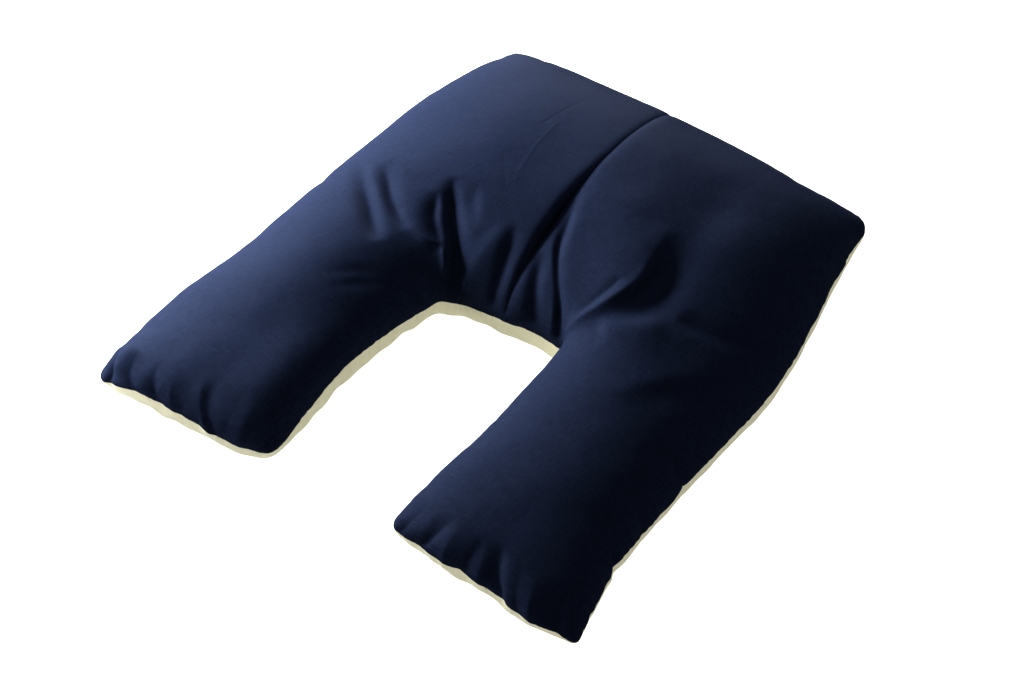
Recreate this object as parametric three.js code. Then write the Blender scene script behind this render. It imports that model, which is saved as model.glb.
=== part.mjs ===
// A U-shaped filled pillow that lies on its back, navy above and cream below.
// The face and the underside are two panels each, sewn to each other along the centre and all round the edge.
// Millimetres, +Z up. +X is the pillow's right, and +Y runs from the arms' ends to the back edge.

import * as THREE from "three";

// Flat pattern of the face, measured from the middle of the line across the arms' ends
const patternHalfWidth = 290;
const patternLength = 700;
const notchHalfWidth = 80;
const notchDepth = 320;

// Filled form
const faceCrown = 82; // height of the face above the edge seam where the filling is fullest
const facePower = 0.46; // the lower it is, the steeper the face rises from the edge seam
const restingShare = 0.22; // the underside lies flat where the filling is fuller than this share
const undersidePower = 2.4; // the higher it is, the sooner the underside reaches the floor
const pieceGap = 0.3; // between neighbouring panels
const creaseFade = 0.03; // folds fade out where the filling is thinner than this share

// Steps of the surface's grid
const stepsAcrossArm = 20;
const stepsAcrossHalfNotch = 8;
const stepsAlongArm = 25;
const stepsAlongCrosspiece = 32;
const stepsAlongFold = 16;
const solverRounds = 900;
const solverPush = 1.9; // over-relaxation
const edgeCrowding = 0.7; // how far the grid lines crowd towards the edges, from 0 to 1

// Grid lines of the pattern's corners
const innerLeft = stepsAcrossArm;
const centreColumn = innerLeft + stepsAcrossHalfNotch;
const innerRight = centreColumn + stepsAcrossHalfNotch;
const lastColumn = innerRight + stepsAcrossArm;
const notchRow = stepsAlongArm;
const lastRow = notchRow + stepsAlongCrosspiece;

// Where the inner sheet's triangles fan out, so that none is a sliver
const outerHubRow = notchRow + 13; // on the outer side, facing the notch's back
const centreHubRow = lastRow - 13; // on the centre seam, facing the back
const backFanSteps = stepsAcrossArm; // of the back, from its outer corner

// Corners of the edge seam as the pillow lies: grid place, place, height above the floor, length of rounding
const corners = {
  leftTipOuter: { at: [0, 0], x: -320, y: -14, seam: 30, round: 8 },
  leftTipInner: { at: [innerLeft, 0], x: -77, y: 2, seam: 36, round: 42 },
  notchLeft: { at: [innerLeft, notchRow], x: -75, y: 305, seam: 28, round: 10 },
  notchMiddle: { at: [centreColumn, notchRow], x: 9, y: 316, seam: 35, round: 15 },
  notchRight: { at: [innerRight, notchRow], x: 89, y: 320, seam: 31, round: 4 },
  rightTipInner: { at: [innerRight, 0], x: 83, y: 0, seam: 31, round: 22 },
  rightTipOuter: { at: [lastColumn, 0], x: 333, y: -9, seam: 22, round: 16 },
  backRight: { at: [lastColumn, lastRow], x: 268, y: 698, seam: 33, round: 26 },
  backMiddle: { at: [centreColumn, lastRow], x: -6, y: 694, seam: 42, round: 20 },
  backLeft: { at: [0, lastRow], x: -244, y: 696, seam: 34, round: 8 },
};

// Sides in order, each from one corner to the next, at even steps between them.
// drawnIn: how far the seam lies inside the straight line. lift: how far it rises above that line.
const sides = [
  { from: "leftTipOuter", to: "leftTipInner", drawnIn: [-4, -2, -7], lift: [8, 5, 0] },
  { from: "leftTipInner", to: "notchLeft", drawnIn: [4, 11, 8], lift: [12, 14, 8] },
  { from: "notchLeft", to: "notchMiddle", drawnIn: [6], lift: [-2] },
  { from: "notchMiddle", to: "notchRight", drawnIn: [4], lift: [0] },
  { from: "notchRight", to: "rightTipInner", drawnIn: [6, 7, 3], lift: [5, 4, 3] },
  { from: "rightTipInner", to: "rightTipOuter", drawnIn: [-3, -2, -9], lift: [3, 4, 5] },
  { from: "rightTipOuter", to: "backRight", drawnIn: [10, 3, -8, -22, -18, -6], lift: [8, 7, 6, 8, 10, 5] },
  { from: "backRight", to: "backMiddle", drawnIn: [6, -2], lift: [0, 0] },
  { from: "backMiddle", to: "backLeft", drawnIn: [1, 5], lift: [1, 4] },
  { from: "backLeft", to: "leftTipOuter", drawnIn: [-13, -13, -10, -5, -6], lift: [8, 9, 8, 7, 8] },
];

// The two halves: their outer side, their side in the notch, and which way they lie from the centre
const leftHalf = { outerColumn: 0, innerColumn: innerLeft, sideways: -1 };
const rightHalf = { outerColumn: lastColumn, innerColumn: innerRight, sideways: 1 };

// Centre seam of the face, which the filling pushes up on both sides
const centreSeam = {
  sway: -7, // sideways, half way along
  depth: 4, // all along
  deepest: { y: 440, spread: 130, depth: 14 }, // further depth
  width: 26,
  power: 1.25, // near 1 the valley is sharp
};

// Broad hollows (depth above 0) and bulges (below 0) of the face
const swells = [
  { x: 152, y: 408, across: 34, along: 36, depth: 12 }, // hollow behind the right inner corner
  { x: 138, y: 500, across: 40, along: 80, depth: 6 }, // trough that runs back from it
  { x: 70, y: 480, across: 40, along: 90, depth: -6 },
  { x: 215, y: 520, across: 70, along: 90, depth: -4 },
  { x: -200, y: 230, across: 70, along: 110, depth: -7 },
  { x: 205, y: 200, across: 70, along: 110, depth: -3 },
  { x: -110, y: 480, across: 80, along: 90, depth: -3 },
];

// Main folds of the face, each through its three places. width: from its middle line out to its foot.
// depth: pressed in above 0, raised below 0.
const folds = [
  // left inner corner
  { from: [-70, 308], by: [-92, 346], to: [-140, 404], width: 14, depth: 13 },
  { from: [-90, 300], by: [-120, 334], to: [-168, 374], width: 16, depth: -6 },
  { from: [-62, 346], by: [-88, 392], to: [-114, 440], width: 12, depth: 7 },
  // left elbow
  { from: [-168, 324], by: [-212, 354], to: [-264, 400], width: 15, depth: 8 },
  { from: [-150, 352], by: [-204, 386], to: [-252, 428], width: 15, depth: -3 },
  // beside the centre seam, at the notch
  { from: [-26, 318], by: [-28, 352], to: [-36, 396], width: 12, depth: 6 },
  { from: [-52, 318], by: [-54, 352], to: [-60, 390], width: 13, depth: -4 },
  // right inner corner
  { from: [84, 318], by: [46, 372], to: [18, 444], width: 13, depth: 9 },
  { from: [62, 330], by: [66, 380], to: [58, 444], width: 16, depth: -5 },
  { from: [92, 316], by: [126, 350], to: [140, 410], width: 14, depth: -8 },
  // right elbow
  { from: [240, 316], by: [284, 350], to: [318, 394], width: 15, depth: -6 },
  { from: [196, 384], by: [250, 394], to: [308, 426], width: 15, depth: 5 },
  // puckers along the right side
  { from: [314, 90], by: [294, 98], to: [268, 112], width: 12, depth: 5 },
  { from: [304, 240], by: [276, 248], to: [238, 264], width: 13, depth: 5 },
  { from: [310, 502], by: [286, 508], to: [256, 522], width: 12, depth: 4 },
  // puckers at the end of the right arm
  { from: [118, 0], by: [122, 22], to: [130, 52], width: 12, depth: 7 },
  { from: [166, 0], by: [168, 26], to: [172, 60], width: 13, depth: 9 },
  { from: [222, 0], by: [226, 28], to: [232, 66], width: 13, depth: 7 },
  { from: [286, 0], by: [280, 26], to: [268, 58], width: 13, depth: 7 },
  // puckers at the end of the left arm
  { from: [-284, -10], by: [-278, 12], to: [-264, 40], width: 13, depth: 9 },
  { from: [-238, -10], by: [-236, 12], to: [-228, 40], width: 12, depth: 6 },
  { from: [-200, -8], by: [-196, 14], to: [-188, 44], width: 12, depth: 5 },
  { from: [-154, -6], by: [-150, 16], to: [-144, 48], width: 12, depth: 5 },
];

const navy = new THREE.MeshStandardMaterial({ color: "#1d2740", roughness: 0.5, metalness: 0 });
const cream = new THREE.MeshStandardMaterial({ color: "#d9dab8", roughness: 0.6, metalness: 0 });

// Places from a to b that crowd towards both ends, b left out
function crowded(a, b, steps) {
  return Array.from({ length: steps }, (_, k) => {
    const even = k / steps;
    const crowdedShare = (1 - Math.cos(Math.PI * even)) / 2;
    return a + (b - a) * THREE.MathUtils.lerp(even, crowdedShare, edgeCrowding);
  });
}

// Grid over the pattern: the notch holds no points
const columns = [
  ...crowded(-patternHalfWidth, -notchHalfWidth, stepsAcrossArm),
  ...crowded(-notchHalfWidth, 0, stepsAcrossHalfNotch),
  ...crowded(0, notchHalfWidth, stepsAcrossHalfNotch),
  ...crowded(notchHalfWidth, patternHalfWidth, stepsAcrossArm),
  patternHalfWidth,
];
const rows = [
  ...crowded(0, notchDepth, stepsAlongArm),
  ...crowded(notchDepth, patternLength, stepsAlongCrosspiece),
  patternLength,
];

function inNotchCell(i, j) {
  return i >= innerLeft && i < innerRight && j < notchRow;
}

function onEdge(i, j) {
  const outer = i === 0 || i === lastColumn || j === 0 || j === lastRow;
  const notchSide = (i === innerLeft || i === innerRight) && j <= notchRow;
  const notchBack = i >= innerLeft && i <= innerRight && j === notchRow;
  return outer || notchSide || notchBack;
}

const indexOf = columns.map(() => []);
const places = [];
for (let i = 0; i <= lastColumn; i += 1) {
  for (let j = 0; j <= lastRow; j += 1) {
    if (onEdge(i, j) || !inNotchCell(i, j)) {
      indexOf[i][j] = places.length;
      places.push([i, j]);
    }
  }
}

// Grid places from one to another along a column or a row, both ends included
function gridLine([fromI, fromJ], [toI, toJ]) {
  const steps = Math.max(Math.abs(toI - fromI), Math.abs(toJ - fromJ));
  return Array.from({ length: steps + 1 }, (_, n) => {
    const i = fromI + Math.sign(toI - fromI) * n;
    const j = fromJ + Math.sign(toJ - fromJ) * n;
    return indexOf[i][j];
  });
}

function patternDistance([i, j], [m, n]) {
  return Math.abs(columns[m] - columns[i]) + Math.abs(rows[n] - rows[j]);
}

// Smooth curve through values at even steps, nothing at both ends
function eased(values, share) {
  const curve = new THREE.SplineCurve([0, ...values, 0].map((value, k) => new THREE.Vector2(k, value)));
  return curve.getPoint(share).y;
}

function sidePoint(side, share) {
  const start = corners[side.from];
  const end = corners[side.to];
  const along = new THREE.Vector2(end.x - start.x, end.y - start.y);
  const inward = new THREE.Vector2(-along.y, along.x).normalize().multiplyScalar(eased(side.drawnIn, share));
  return new THREE.Vector3(
    start.x + along.x * share + inward.x,
    start.y + along.y * share + inward.y,
    THREE.MathUtils.lerp(start.seam, end.seam, share) + eased(side.lift, share),
  );
}

function sideLength(side) {
  return Math.hypot(corners[side.to].x - corners[side.from].x, corners[side.to].y - corners[side.from].y);
}

// Place of the edge seam, rounded where a corner is nearer than its rounding
function seamPoint(k, share) {
  const side = sides[k];
  const before = sides[(k + sides.length - 1) % sides.length];
  const after = sides[(k + 1) % sides.length];
  const length = sideLength(side);
  const startRound = corners[side.from].round;
  const endRound = corners[side.to].round;
  if (share * length < startRound) {
    const turn = 0.5 + (share * length) / (2 * startRound);
    return roundedCorner(before, side, side.from, turn);
  }
  if ((1 - share) * length < endRound) {
    const turn = 0.5 - ((1 - share) * length) / (2 * endRound);
    return roundedCorner(side, after, side.to, turn);
  }
  return sidePoint(side, share);
}

function roundedCorner(before, after, name, turn) {
  const corner = corners[name];
  return new THREE.QuadraticBezierCurve3(
    sidePoint(before, 1 - corner.round / sideLength(before)),
    new THREE.Vector3(corner.x, corner.y, corner.seam),
    sidePoint(after, corner.round / sideLength(after)),
  ).getPoint(turn);
}

// Every grid place on the edge, with its place on the seam
function seamPlaces() {
  return sides.flatMap(({ from, to }, k) => {
    const start = corners[from].at;
    const end = corners[to].at;
    return gridLine(start, end).slice(0, -1).map((index) => {
      const share = patternDistance(start, places[index]) / patternDistance(start, end);
      return { index, point: seamPoint(k, share) };
    });
  });
}

// Solves the grid's balance: each inner value is the mean of its neighbours, weighted by nearness, plus the
// load. With no load it spreads the edge's values evenly. With a load it is the height of a blown-up sheet.
function balance(edgeValues, load) {
  const values = new Float64Array(places.length);
  for (const [index, value] of edgeValues) {
    values[index] = value;
  }
  const cells = [];
  places.forEach(([i, j], index) => {
    if (!onEdge(i, j)) {
      const west = columns[i] - columns[i - 1];
      const east = columns[i + 1] - columns[i];
      const south = rows[j] - rows[j - 1];
      const north = rows[j + 1] - rows[j];
      const weights = [
        2 / (west * (west + east)), 2 / (east * (west + east)),
        2 / (south * (south + north)), 2 / (north * (south + north)),
      ];
      const around = [indexOf[i - 1][j], indexOf[i + 1][j], indexOf[i][j - 1], indexOf[i][j + 1]];
      cells.push({ index, around, weights, total: weights.reduce((sum, weight) => sum + weight) });
    }
  });
  for (let round = 0; round < solverRounds; round += 1) {
    for (const { index, around, weights, total } of cells) {
      const mean = around.reduce((sum, neighbour, n) => sum + weights[n] * values[neighbour], load) / total;
      values[index] += solverPush * (mean - values[index]);
    }
  }
  return values;
}

function smooth(value) {
  return THREE.MathUtils.smoothstep(value, 0, 1);
}

function bell(distance, width) {
  return Math.exp(-((distance / width) ** 2));
}

// Nearest distance to a fold's line, and how far along it that is
function nearestOn(line, x, y) {
  let best = { distance: Infinity, share: 0 };
  for (let k = 0; k < line.length - 1; k += 1) {
    const a = line[k];
    const b = line[k + 1];
    const span = (b.x - a.x) ** 2 + (b.y - a.y) ** 2;
    const t = THREE.MathUtils.clamp(((x - a.x) * (b.x - a.x) + (y - a.y) * (b.y - a.y)) / span, 0, 1);
    const distance = Math.hypot(x - a.x - t * (b.x - a.x), y - a.y - t * (b.y - a.y));
    if (distance < best.distance) {
      best = { distance, share: (k + t) / (line.length - 1) };
    }
  }
  return best;
}

const foldLines = folds.map(({ from, by, to }) => {
  const places2d = [from, by, to].map(([x, y]) => new THREE.Vector2(x, y));
  return new THREE.SplineCurve(places2d).getPoints(stepsAlongFold);
});

// How far the face is pressed in at a place
function faceRelief(x, y, fromCentreSeam) {
  let depth = 0;
  for (const swell of swells) {
    depth += swell.depth * bell(x - swell.x, swell.across) * bell(y - swell.y, swell.along);
  }
  folds.forEach((fold, k) => {
    const { distance, share } = nearestOn(foldLines[k], x, y);
    depth += fold.depth * bell(distance, fold.width) * smooth(3 * share) * smooth(3 * (1 - share));
  });
  const { deepest } = centreSeam;
  const seamDepth = centreSeam.depth + deepest.depth * bell(y - deepest.y, deepest.spread);
  const seamProfile = Math.exp(-((Math.abs(fromCentreSeam) / centreSeam.width) ** centreSeam.power));
  return depth + seamDepth * seamProfile;
}

// The whole form: plan places, height of the seam sheet, face and underside
function shapePillow() {
  const seam = seamPlaces();
  const x = balance(seam.map(({ index, point }) => [index, point.x]), 0);
  const y = balance(seam.map(({ index, point }) => [index, point.y]), 0);
  const seamHeight = balance(seam.map(({ index, point }) => [index, point.z]), 0);
  const sheet = balance([], 1);
  const fullest = Math.max(...sheet);
  const filling = sheet.map((value) => Math.max(value, 0) / fullest);
  places.forEach(([, j], index) => {
    const along = (rows[j] - notchDepth) / (patternLength - notchDepth);
    const nearCentre = bell(x[index], notchHalfWidth);
    x[index] += centreSeam.sway * Math.sin(Math.PI * THREE.MathUtils.clamp(along, 0, 1)) * nearCentre;
  });
  const face = [];
  const underside = [];
  places.forEach(([, j], index) => {
    const centreX = x[indexOf[centreColumn][Math.max(j, notchRow)]];
    const share = filling[index];
    const seamFade = smooth(share / creaseFade);
    const relief = faceRelief(x[index], y[index], x[index] - centreX) * seamFade;
    face.push(seamHeight[index] + faceCrown * share ** facePower - relief);
    const settled = Math.min(Math.sqrt(share / restingShare), 1);
    underside.push(seamHeight[index] * (1 - settled) ** undersidePower);
  });
  return { x, y, seamHeight, face, underside };
}

// Triangles between two chains of grid places, where each step joins the nearer pair
function spanChains(outer, inner, { x, y }) {
  const apart = (a, b) => Math.hypot(x[a] - x[b], y[a] - y[b]);
  const triangles = [];
  let m = 0;
  let n = 0;
  while (m < outer.length - 1 || n < inner.length - 1) {
    const stepOuter = m < outer.length - 1 ? apart(outer[m + 1], inner[n]) : Infinity;
    const stepInner = n < inner.length - 1 ? apart(outer[m], inner[n + 1]) : Infinity;
    if (stepOuter < stepInner) {
      triangles.push([outer[m], inner[n], outer[m + 1]]);
      m += 1;
    } else {
      triangles.push([outer[m], inner[n], inner[n + 1]]);
      n += 1;
    }
  }
  return triangles;
}

// Inside one half, a sheet at the edge seam's height parts the face from the underside
function sheetTriangles({ outerColumn, innerColumn }, form) {
  const armEnd = gridLine([innerColumn, 0], [outerColumn, 0]);
  const armSide = gridLine([outerColumn, 0], [outerColumn, outerHubRow]);
  const innerSide = gridLine([innerColumn, 0], [innerColumn, notchRow]);
  const notchBack = gridLine([innerColumn, notchRow], [centreColumn, notchRow]);
  const backSide = gridLine([outerColumn, outerHubRow], [outerColumn, lastRow]);
  const back = gridLine([outerColumn, lastRow], [centreColumn, lastRow]);
  const centreFront = gridLine([centreColumn, notchRow], [centreColumn, centreHubRow]);
  const centreBack = gridLine([centreColumn, centreHubRow], [centreColumn, lastRow]);
  return [
    ...spanChains([...armEnd, ...armSide.slice(1)], innerSide, form),
    ...spanChains([indexOf[outerColumn][outerHubRow]], notchBack, form),
    ...spanChains(backSide, centreFront, form),
    ...spanChains(back.slice(0, backFanSteps + 1), [indexOf[centreColumn][centreHubRow]], form),
    ...spanChains(back.slice(backFanSteps), centreBack, form),
  ];
}

// The face or the underside inside one half, by its heights. Each cell is cut along the more level of its two
// diagonals, but never between two places on the edge.
function surfaceTriangles({ outerColumn }, heights) {
  const drop = (a, b) => {
    const bothOnEdge = onEdge(...places[a]) && onEdge(...places[b]);
    return bothOnEdge ? Infinity : Math.abs(heights[a] - heights[b]);
  };
  const triangles = [];
  for (let i = Math.min(outerColumn, centreColumn); i < Math.max(outerColumn, centreColumn); i += 1) {
    for (let j = 0; j < lastRow; j += 1) {
      if (!inNotchCell(i, j)) {
        const [a, b] = [indexOf[i][j], indexOf[i + 1][j]];
        const [c, d] = [indexOf[i + 1][j + 1], indexOf[i][j + 1]];
        triangles.push(...(drop(a, c) < drop(b, d) ? [[a, b, c], [a, c, d]] : [[a, b, d], [b, c, d]]));
      }
    }
  }
  return triangles;
}

// One panel with its share of the filling, as a closed solid between its outer surface and the sheet
function makePanel(name, material, half, form, outward) {
  const outerHeights = outward > 0 ? form.face : form.underside;
  const positions = [];
  const known = new Map();
  const vertex = (index, inside) => {
    const inSheet = inside || onEdge(...places[index]);
    const key = `${index} ${inSheet}`;
    if (!known.has(key)) {
      const partedX = places[index][0] === centreColumn ? half.sideways * pieceGap / 2 : 0;
      const sheetHeight = form.seamHeight[index] + outward * pieceGap / 2;
      known.set(key, positions.length / 3);
      positions.push(form.x[index] + partedX, form.y[index], inSheet ? sheetHeight : outerHeights[index]);
    }
    return known.get(key);
  };
  const triangles = [];
  const addTriangle = (a, b, c, turn) => {
    if (a !== b && b !== c && a !== c) {
      triangles.push(...(turn > 0 ? [a, b, c] : [a, c, b]));
    }
  };
  for (const [a, b, c] of surfaceTriangles(half, outerHeights)) {
    addTriangle(vertex(a, false), vertex(b, false), vertex(c, false), outward);
  }
  for (const [a, b, c] of sheetTriangles(half, form)) {
    addTriangle(vertex(a, true), vertex(b, true), vertex(c, true), outward * half.sideways);
  }
  const centre = gridLine([centreColumn, notchRow], [centreColumn, lastRow]);
  centre.slice(1).forEach((far, k) => {
    const near = centre[k];
    const turn = -outward * half.sideways;
    addTriangle(vertex(near, true), vertex(far, true), vertex(far, false), turn);
    addTriangle(vertex(near, true), vertex(far, false), vertex(near, false), turn);
  });
  const geometry = new THREE.BufferGeometry();
  geometry.setAttribute("position", new THREE.Float32BufferAttribute(positions, 3));
  geometry.setIndex(triangles);
  geometry.computeVertexNormals();
  const panel = new THREE.Mesh(geometry, material);
  panel.name = name;
  return panel;
}

const form = shapePillow();
const pillow = new THREE.Group();
pillow.add(makePanel("face_left", navy, leftHalf, form, 1));
pillow.add(makePanel("face_right", navy, rightHalf, form, 1));
pillow.add(makePanel("underside_left", cream, leftHalf, form, -1));
pillow.add(makePanel("underside_right", cream, rightHalf, form, -1));

// The origin lies on the floor under the middle of the pillow
const middle = new THREE.Box3().setFromObject(pillow).getCenter(new THREE.Vector3());
pillow.position.set(-middle.x, -middle.y, 0);

export default pillow;
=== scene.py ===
"""A U-shaped filled pillow that lies on its cream underside, with its navy face up.

The tables of its form are in millimetres, in the plan: x to the pillow's right, y from the arms' ends to
the back edge, measured from the middle of the line across the arms' ends. The tables of looks, camera and
lights say their own units.
"""

from math import cos, pi, radians, sin

import bpy
import numpy as np
from mathutils import Matrix, Vector
from mathutils.geometry import tessellate_polygon


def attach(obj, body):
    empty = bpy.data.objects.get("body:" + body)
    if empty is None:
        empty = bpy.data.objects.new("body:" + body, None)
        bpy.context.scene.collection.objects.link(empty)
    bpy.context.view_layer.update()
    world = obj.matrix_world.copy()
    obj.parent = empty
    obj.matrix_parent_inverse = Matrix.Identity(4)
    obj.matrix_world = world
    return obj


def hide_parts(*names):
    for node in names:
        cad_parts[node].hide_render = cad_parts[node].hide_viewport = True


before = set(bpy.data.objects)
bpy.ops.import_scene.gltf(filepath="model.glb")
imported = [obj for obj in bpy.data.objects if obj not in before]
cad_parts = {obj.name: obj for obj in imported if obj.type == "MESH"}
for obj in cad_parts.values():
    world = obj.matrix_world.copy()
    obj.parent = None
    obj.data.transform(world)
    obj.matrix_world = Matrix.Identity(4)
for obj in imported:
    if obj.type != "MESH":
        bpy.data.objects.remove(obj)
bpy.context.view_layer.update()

MM = 0.001

# Middle of the pillow's box in the plan, which is the frame's origin
PLAN_MIDDLE = (5.71, 340.83)

# Flat pattern of the face
PATTERN_HALF_WIDTH = 290
PATTERN_LENGTH = 700
NOTCH_HALF_WIDTH = 80
NOTCH_DEPTH = 320
EDGE_LENGTH = 2 * (2 * PATTERN_HALF_WIDTH + PATTERN_LENGTH + NOTCH_DEPTH)

# Filled face: how high it stands above the seam at its fullest, and how steeply it leaves the seam
FACE_CROWN = 82
FACE_POWER = 0.46

# Filled underside: the share of the fullness from which it lies flat, and how sharply its rim curves up
RESTING_SHARE = 0.22
UNDERSIDE_POWER = 2.4

# Gap between neighbouring panels, too narrow to see through
PANEL_GAP = 0.03

# Share of the fullness over which the folds fade out towards the edge seam
CREASE_FADE = 0.03

# Creases sharper than this many degrees are shaded as sharp
SHARP_ANGLE = 70

# Steps of the cloth's grid: across an arm, across half the notch, along an arm, along the crosspiece
CLOTH_STEPS = (152, 48, 200, 232)

# The grid is solved with its steps divided by each of these in turn
COARSENESS = (8, 4, 2, 1)

# How much the grid lines crowd towards the edges, from 0 to 1
EDGE_CROWDING = 0.8

# When the solver stops
SOLVER_ROUNDS = 700
SOLVER_TOLERANCE = 1e-9

# Smallest weight and length that something is divided by
LEAST_WEIGHT = 1e-12
LEAST_LENGTH = 1e-9

# Corners of the edge seam: grid lines, place, height above the floor, length of rounding
CORNERS = {
    "left_tip_outer": dict(at=("outer_left", "front"), place=(-324, -16, 20), round=28),
    "left_tip_inner": dict(at=("inner_left", "front"), place=(-79, 1, 37), round=15),
    "notch_left": dict(at=("inner_left", "notch"), place=(-75, 305, 28), round=10),
    "notch_middle": dict(at=("centre", "notch"), place=(9, 316, 35), round=15),
    "notch_right": dict(at=("inner_right", "notch"), place=(89, 320, 31), round=4),
    "right_tip_inner": dict(at=("inner_right", "front"), place=(81, -2, 31), round=20),
    "right_tip_outer": dict(at=("outer_right", "front"), place=(333, -9, 22), round=9),
    "back_right": dict(at=("outer_right", "back"), place=(268, 698, 33), round=26),
    "back_middle": dict(at=("centre", "back"), place=(-6, 694, 42), round=20),
    "back_left": dict(at=("outer_left", "back"), place=(-246, 699, 34), round=4),
}

# Sides between the corners in order: how far the seam is drawn in and lifted, at even steps
SIDES = [
    dict(ends=("left_tip_outer", "left_tip_inner"), drawn_in=(-4, -2, -7), lift=(15, 9, 2)),
    dict(ends=("left_tip_inner", "notch_left"), drawn_in=(4, 11, 8), lift=(12, 14, 8)),
    dict(ends=("notch_left", "notch_middle"), drawn_in=(6,), lift=(-2,)),
    dict(ends=("notch_middle", "notch_right"), drawn_in=(4,), lift=(0,)),
    dict(ends=("notch_right", "right_tip_inner"), drawn_in=(6, 7, 3), lift=(5, 4, 3)),
    dict(ends=("right_tip_inner", "right_tip_outer"), drawn_in=(-3, -2, -9), lift=(3, 4, 5)),
    dict(ends=("right_tip_outer", "back_right"), drawn_in=(10, 3, -8, -22, -18, -6),
         lift=(8, 7, 6, 8, 10, 5)),
    dict(ends=("back_right", "back_middle"), drawn_in=(6, -2), lift=(0, 0)),
    dict(ends=("back_middle", "back_left"), drawn_in=(1, 5), lift=(1, 4)),
    dict(ends=("back_left", "left_tip_outer"), drawn_in=(-13, -13, -10, -5, -8), lift=(8, 9, 8, 7, 9)),
]

# Centre seam of the face: how far it sways to the side, its groove, and the valley along part of it
SEAM_SWAY = -7
SEAM_DEPTH = 1.8
SEAM_WIDTHS = (4, 5)
SEAM_POWER = 1.1
SEAM_VALLEY = dict(y=420, spread=70, depth=11, widths=(4, 12), power=1.2)

# Broad hollows (depth above 0) and bulges of the face
SWELLS = [
    dict(x=156, y=408, across=24, along=44, depth=8),
    dict(x=148, y=500, across=30, along=80, depth=3),
    dict(x=70, y=480, across=40, along=90, depth=-3),
    dict(x=215, y=520, across=70, along=90, depth=-2),
    dict(x=-200, y=230, across=70, along=110, depth=-7),
    dict(x=205, y=200, across=70, along=110, depth=-3),
    dict(x=-110, y=480, across=80, along=90, depth=-3),
    dict(x=-304, y=8, across=22, along=22, depth=-6),
    dict(x=-122, y=60, across=40, along=90, depth=-7),
    dict(x=172, y=326, across=46, along=32, depth=-4),
]

# Steps of a fold's middle line, and how many half widths from it the fold is still worked out
FOLD_STEPS = 20
FOLD_REACH = 4

# Folds of the face: places along the middle line, depth (below 0 it stands up), half widths to the left and
# the right of that line, power (near 1 for a sharp crease, 2 for a soft one), and ends (higher where the
# fold starts and stops more suddenly)
FOLD_ENDS = 3.5
FOLDS = [
    # left inner corner
    dict(line=[(-136, 388), (-122, 360), (-104, 342), (-84, 328)], depth=6, widths=(6, 9), power=1.5),
    dict(line=[(-132, 414), (-116, 387), (-96, 362), (-74, 336), (-62, 312), (-56, 288)],
         depth=14, widths=(10, 8), power=1.4),
    dict(line=[(-142, 330), (-110, 326), (-94, 332), (-80, 322), (-69, 300)],
         depth=-5, widths=(9, 6), power=1.5),
    dict(line=[(-90, 334), (-80, 324), (-70, 310), (-65, 292)], depth=-4, widths=(4, 4), power=1.5),
    dict(line=[(-106, 418), (-91, 393), (-68, 366)], depth=3.2, widths=(9, 14), power=2, ends=2),
    # left elbow
    dict(line=[(-264, 399), (-214, 350), (-168, 308), (-148, 290)],
         depth=9, widths=(11, 12), power=1.8, ends=2),
    dict(line=[(-224, 398), (-178, 353), (-132, 322)], depth=7.5, widths=(10, 10), power=1.7, ends=2.4),
    dict(line=[(-242, 394), (-196, 352), (-150, 316)], depth=-2, widths=(10, 10), power=2, ends=2),
    # between the left inner corner and the centre seam
    dict(line=[(-31, 398), (-22, 365), (-15, 338), (-11, 312), (-9, 290)],
         depth=5.5, widths=(9, 6), power=1.6),
    dict(line=[(-36, 396), (-41, 360), (-46, 326), (-48, 292)], depth=-3, widths=(17, 12), power=2),
    # right of the centre seam
    dict(line=[(12, 386), (27, 350), (44, 322), (54, 298)], depth=6, widths=(9, 8), power=1.8),
    dict(line=[(8, 418), (30, 381), (55, 349), (72, 320), (82, 296)], depth=-3.5, widths=(7, 5), power=1.6),
    dict(line=[(4, 470), (16, 431), (27, 396), (44, 368), (67, 339), (82, 316), (92, 296)],
         depth=8, widths=(6, 8),
         power=1.3),
    # right inner corner
    dict(line=[(108, 340), (127, 382), (127, 430), (116, 490)],
         depth=-8, widths=(46, 13), power=2, ends=2.5),
    dict(line=[(80, 312), (101, 331), (120, 354), (135, 388), (135, 414), (124, 440)],
         depth=-4.5, widths=(10, 9),
         power=1.6),
    dict(line=[(94, 332), (111, 366), (119, 394)], depth=2, widths=(6, 5), power=1.5),
    dict(line=[(130, 322), (162, 338), (198, 370)], depth=-3, widths=(14, 20), power=2),
    dict(line=[(116, 327), (131, 323), (152, 309)], depth=0.7, widths=(4, 4), power=1.5),
    # plump left tip
    dict(line=[(-312, -6), (-292, 30)], depth=-3, widths=(20, 24), power=2, ends=3),
    # right elbow
    dict(line=[(186, 236), (220, 286), (241, 312), (270, 344), (326, 400)],
         depth=-2.6, widths=(20, 14), power=1.6, ends=2.5),
    dict(line=[(204, 240), (236, 280), (262, 306), (300, 340)],
         depth=1.8, widths=(16, 18), power=2, ends=2.5),
    dict(line=[(196, 384), (250, 394), (308, 426)], depth=4, widths=(14, 12), power=1.8),
    # right side
    dict(line=[(262, 206), (284, 230), (300, 232), (315, 218)], depth=5, widths=(5, 9), power=1.4),
    # faint bands inside the left elbow
    dict(line=[(-156, 198), (-127, 235), (-96, 266)], depth=1.4, widths=(9, 7), power=1.8, ends=2),
    dict(line=[(-176, 206), (-144, 242), (-108, 270)], depth=1.2, widths=(8, 7), power=1.8, ends=2),
]

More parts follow.
